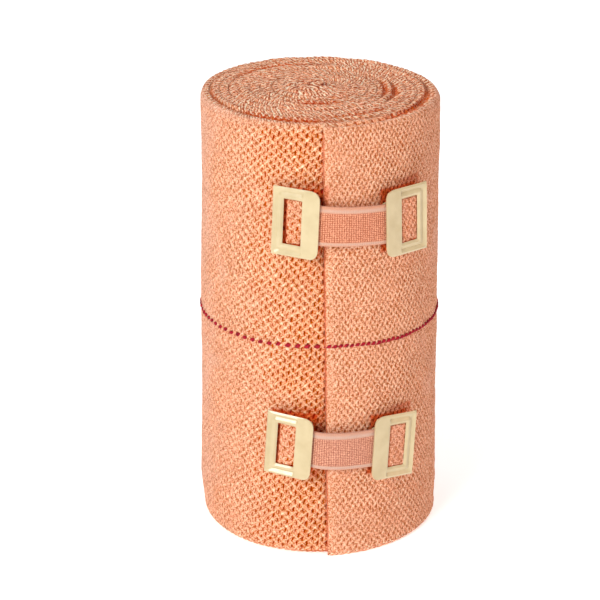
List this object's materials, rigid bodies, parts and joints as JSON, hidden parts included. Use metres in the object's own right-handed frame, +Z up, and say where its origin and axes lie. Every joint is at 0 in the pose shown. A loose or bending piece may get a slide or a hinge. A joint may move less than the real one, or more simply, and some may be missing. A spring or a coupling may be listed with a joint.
{
  "type": "crepe bandage roll",
  "caption": "Crepe bandage wound into an upright roll, its free end held at the front by elastic clips with stamped hook plates.",
  "frame": {"origin": "On the roll's axis, at the lower end that it stands on", "axes": "+Z up along the roll's axis; -Y is the front, where the bandage's free end and the clips are; +X is to the right seen from the front"},
  "size_m": [0.0547, 0.0574, 0.1007],
  "materials": {
    "cloth": "matt woven crepe cotton",
    "enamel": "cream stove enamel on stamped steel",
    "elastic": "woven elastic tape"
  },
  "bodies": {
    "root": {"bandage_roll": "cloth", "upper_left_hook_plate": "enamel", "upper_right_hook_plate": "enamel", "upper_elastic_band": "elastic", "lower_left_hook_plate": "enamel", "lower_right_hook_plate": "enamel", "lower_elastic_band": "elastic"}
  },
  "joints": []
}
